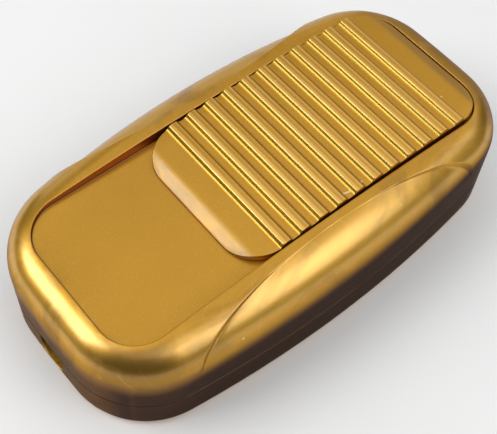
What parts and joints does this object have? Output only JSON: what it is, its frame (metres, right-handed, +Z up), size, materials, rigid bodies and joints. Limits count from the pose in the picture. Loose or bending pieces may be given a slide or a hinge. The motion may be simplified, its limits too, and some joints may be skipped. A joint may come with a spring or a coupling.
{
  "type": "foot dimmer",
  "caption": "Foot-operated lamp dimmer: gold two-part plastic housing with a ribbed slider in a sunk track that drives a slide control inside.",
  "frame": {"origin": "middle of the housing footprint, on the surface that it stands on", "axes": "+X along the housing towards the end where the slider rests, +Z up"},
  "size_m": [0.1134, 0.0592, 0.029],
  "materials": {
    "gold_shell": "satin pearl gold, moulded",
    "gold_slider": "satin pearl gold, moulded",
    "steel": "zinc plated",
    "board": "glass fibre laminate with green mask",
    "solder": "bright solder",
    "pot_strip": "laminate strip with carbon track",
    "black_plastic": "moulded",
    "spring_brass": "thin spring sheet",
    "ferrite": "coated iron powder core",
    "copper_wire": "enamelled copper wire",
    "capacitor_box": "moulded box",
    "resistor_coat": "lacquer",
    "diac_glass": "glass body",
    "aluminium_sheet": "plain sheet",
    "clear_glass": "clear tube",
    "nickel": "nickel plated",
    "white_plastic": "moulded",
    "brass_cage": "plain"
  },
  "bodies": {
    "housing": {"upper_shell": "gold_shell", "base_shell": "gold_shell", "housing_screws": "steel", "circuit_board": "board", "solder_joints": "solder", "board_screws": "steel", "pot_case": "nickel", "pot_track": "pot_strip", "choke_core": "ferrite", "choke_winding": "copper_wire", "suppression_capacitor": "capacitor_box", "timing_capacitor": "capacitor_box", "resistors": "resistor_coat", "diac": "diac_glass", "triac": "black_plastic", "heat_sink": "aluminium_sheet", "triac_screw": "steel", "triac_nut": "steel", "fuse_glass": "clear_glass", "fuse_ends": "nickel", "fuse_clips": "spring_brass", "input_terminal_block": "white_plastic", "output_terminal_block": "white_plastic", "terminal_cages": "brass_cage", "terminal_screws": "steel", "input_cord_clamp": "black_plastic", "output_cord_clamp": "black_plastic", "clamp_screws": "steel"},
    "pedal": {"slider": "gold_slider", "pot_carriage": "black_plastic", "pot_wiper": "spring_brass"}
  },
  "joints": [
    {"name": "slider_travel", "type": "slide", "parent": "housing", "child": "pedal", "axis": [1, 0, 0], "range_m": [-0.03, 0]}
  ]
}
